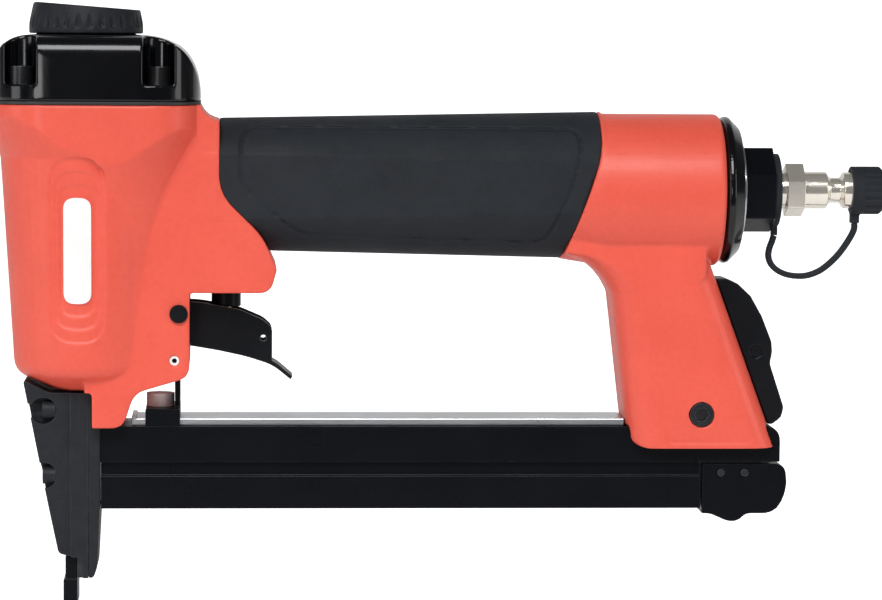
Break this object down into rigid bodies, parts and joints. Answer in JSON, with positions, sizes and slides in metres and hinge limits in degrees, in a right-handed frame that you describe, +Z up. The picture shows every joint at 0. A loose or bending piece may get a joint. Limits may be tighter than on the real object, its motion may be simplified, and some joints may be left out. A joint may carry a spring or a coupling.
{
  "type": "pneumatic upholstery stapler",
  "caption": "Air-driven hand stapler with a trigger handle, a round driver head, a narrow nose and a magazine that slides out to the rear.",
  "frame": {"origin": "where the staple leaves the nose, on the driver axis at the level of the nose tip's face", "axes": "+X runs back along the handle to the air inlet, +Z up the barrel, Y across the tool"},
  "size_m": [0.2361, 0.047, 0.1593],
  "materials": {
    "red_paint": "satin red paint on a casting",
    "gloss_black": "gloss black paint on a casting",
    "black_coat": "satin black coat on steel",
    "black_plastic": "moulded black plastic",
    "grip_rubber": "finely textured black rubber",
    "seal_rubber": "smooth seal rubber",
    "dark_steel": "blackened steel",
    "bright_steel": "bright drawn steel",
    "spring_steel": "drawn spring wire",
    "chrome": "nickel plate",
    "aluminium": "machined aluminium",
    "valve_plastic": "natural nylon",
    "brass": "turned brass",
    "label": "blank white label"
  },
  "bodies": {
    "tool": {"housing": "red_paint", "head_cap": "gloss_black", "cap_gasket": "seal_rubber", "cap_screws": "dark_steel", "cylinder_sleeve": "aluminium", "sleeve_o_rings": "seal_rubber", "bumper": "seal_rubber", "head_valve_spring": "spring_steel", "deflector_screw": "dark_steel", "label_plates": "label", "grip_sleeve": "grip_rubber", "handle_end_cap": "gloss_black", "inlet_washer": "bright_steel", "inlet_bushing": "black_coat", "air_nipple": "chrome", "strap_ring": "grip_rubber", "dust_cap_strap": "grip_rubber", "trigger_pin": "dark_steel", "roll_pin": "dark_steel", "valve_body": "black_coat", "valve_o_rings": "seal_rubber", "valve_spring": "spring_steel", "nose_front_plate": "black_coat", "nose_tip": "black_coat", "guide_strip": "bright_steel", "nose_rear_guide": "black_coat", "nose_screws": "dark_steel", "fixed_rail": "black_coat", "top_bar": "bright_steel", "front_hanger": "black_coat", "hanger_screw": "bright_steel", "magazine_bolt": "dark_steel", "bolt_nut": "dark_steel", "latch_pin": "dark_steel", "latch_spring": "spring_steel"},
    "piston": {"piston": "aluminium", "piston_o_ring": "seal_rubber", "driver_blade": "bright_steel", "blade_pin": "bright_steel"},
    "head_valve": {"head_valve": "valve_plastic", "head_valve_o_ring": "seal_rubber"},
    "deflector": {"exhaust_deflector": "black_coat"},
    "trigger": {"trigger": "black_coat"},
    "stem": {"valve_stem": "brass"},
    "magazine": {"sliding_magazine": "black_coat", "staple_rail": "bright_steel", "magazine_tail": "black_coat", "tail_pins": "dark_steel", "pusher_rod": "bright_steel", "pusher_spring": "spring_steel"},
    "pusher": {"pusher": "bright_steel"},
    "latch": {"latch_lever": "black_plastic"},
    "dust_cap": {"dust_cap": "grip_rubber"}
  },
  "joints": [
    {"name": "trigger_pull", "type": "hinge", "parent": "tool", "child": "trigger", "pos_m": [0.0246, 0, 0.078], "axis": [0, -1, 0], "range_deg": [0, 10], "stiffness_Nm_per_rad": 0.3, "springref_deg": -8.59},
    {"name": "stem_lift", "type": "slide", "parent": "tool", "child": "stem", "axis": [0, 0, 1], "range_m": [0, 0.0022], "deforming": ["valve_spring"]},
    {"name": "piston_drive", "type": "slide", "parent": "tool", "child": "piston", "axis": [0, 0, -1], "range_m": [0, 0.0466]},
    {"name": "head_valve_lift", "type": "slide", "parent": "tool", "child": "head_valve", "axis": [0, 0, 1], "range_m": [0, 0.003], "stiffness_N_per_m": 1500, "springref_m": -0.004, "deforming": ["head_valve_spring"]},
    {"name": "deflector_turn", "type": "hinge", "parent": "tool", "child": "deflector", "pos_m": [0, 0, 0.151], "axis": [0, 0, 1], "continuous": true},
    {"name": "magazine_slide", "type": "slide", "parent": "tool", "child": "magazine", "axis": [1, 0, 0], "range_m": [0, 0.11]},
    {"name": "pusher_slide", "type": "slide", "parent": "magazine", "child": "pusher", "axis": [1, 0, 0], "range_m": [0, 0.105], "stiffness_N_per_m": 40, "springref_m": -0.05, "deforming": ["pusher_spring"]},
    {"name": "latch_swing", "type": "hinge", "parent": "tool", "child": "latch", "pos_m": [0.17834, 0, 0.0675], "axis": [0, -1, 0], "range_deg": [0, 6], "stiffness_Nm_per_rad": 0.3, "springref_deg": -5.73, "deforming": ["latch_spring"]},
    {"name": "dust_cap_pull", "type": "slide", "parent": "tool", "child": "dust_cap", "axis": [1, 0, 0], "range_m": [0, 0.02], "deforming": ["dust_cap_strap"]}
  ],
  "couplings": [
    {"joint": "stem_lift", "follows": "trigger_pull", "m_per_rad": 0.0124}
  ]
}
